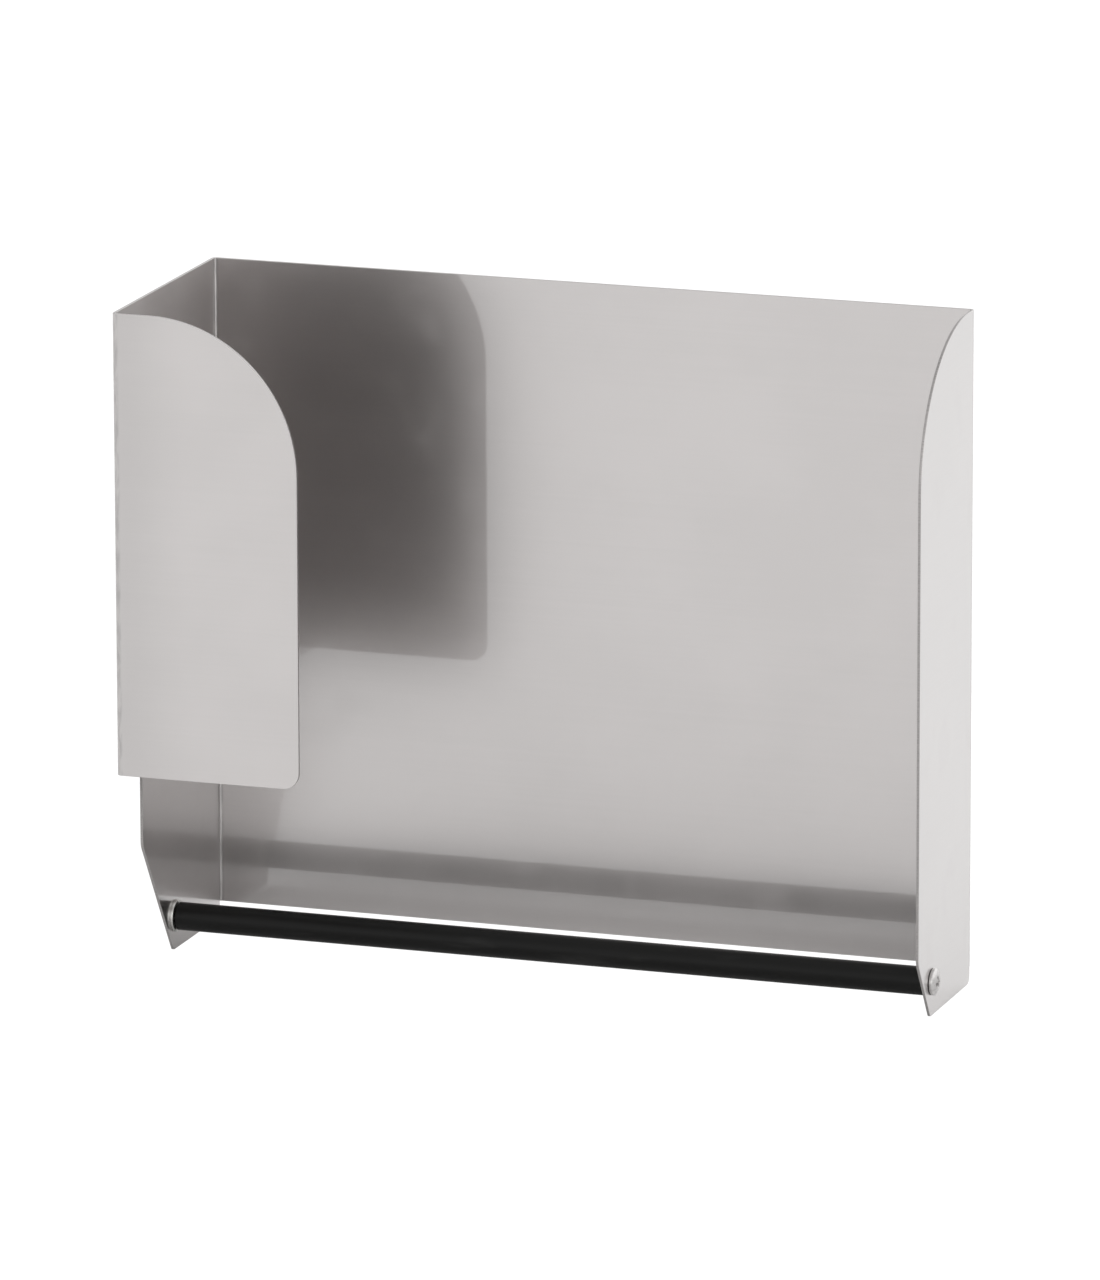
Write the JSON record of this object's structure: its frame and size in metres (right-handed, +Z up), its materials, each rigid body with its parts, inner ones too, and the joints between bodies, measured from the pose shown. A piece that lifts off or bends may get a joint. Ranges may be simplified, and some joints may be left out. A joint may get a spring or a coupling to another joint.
{
  "type": "wall-held film dispenser",
  "caption": "Open-fronted folded sheet-metal dispenser for film on a roll, with side cheeks, a front retaining flap and a free-turning roller bar at the lower edge.",
  "frame": {"origin": "centre of the back plate's flat rear face, which rests on the wall", "axes": "+X along the roller bar to the right as seen from the front, +Y into the wall, +Z up"},
  "size_m": [0.2848, 0.1, 0.24],
  "materials": {
    "satin_sheet": "satin",
    "bar_black": "satin",
    "bright_screw": "bright",
    "washer_steel": "satin"
  },
  "bodies": {
    "housing": {"housing": "satin_sheet", "left_washer": "washer_steel", "right_washer": "washer_steel"},
    "roller": {"roller_bar": "bar_black", "left_screw": "bright_screw", "right_screw": "bright_screw"}
  },
  "joints": [
    {"name": "roller_spin", "type": "hinge", "parent": "housing", "child": "roller", "pos_m": [0, -0.0463, -0.1109], "axis": [1, 0, 0], "continuous": true}
  ]
}
